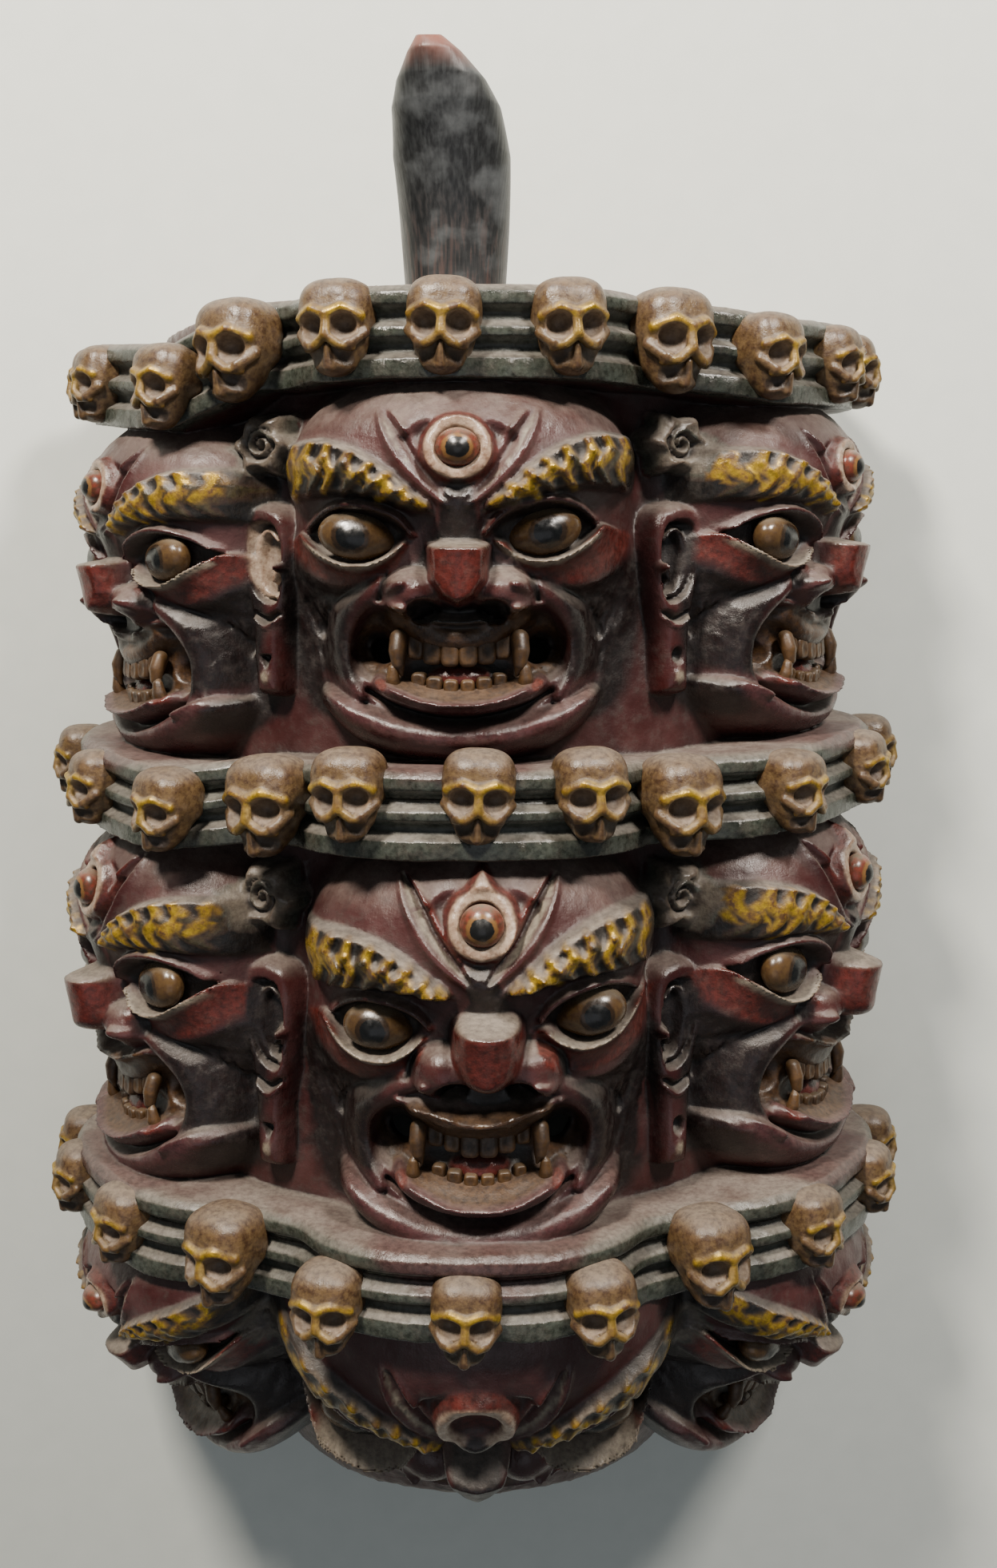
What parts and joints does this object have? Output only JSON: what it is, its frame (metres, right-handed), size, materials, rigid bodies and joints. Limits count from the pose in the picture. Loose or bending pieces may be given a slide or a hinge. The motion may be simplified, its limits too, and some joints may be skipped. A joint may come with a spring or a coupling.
{
  "type": "cham mask",
  "caption": "Half-round carved ceremonial mask of stacked wrathful heads under skull crown bands, hollow and open at the back, with a black horn finial on top.",
  "frame": {"origin": "on the floor plane of the open back rim, under the middle of the whole outline", "axes": "+Y runs up the mask towards the horn finial, +Z runs out of the faces, +X runs to the right of someone facing it"},
  "size_m": [0.4836, 0.7568, 0.2551],
  "materials": {
    "painted_wood": "old maroon paint on carved wood, rubbed glossy on the high parts and dusty on the upper faces, with gold on the brows and skulls",
    "black_wood": "black stained carved wood with a grey sheen and a worn reddish tip"
  },
  "bodies": {
    "root": {"mask": "painted_wood", "horn": "black_wood"}
  },
  "joints": []
}
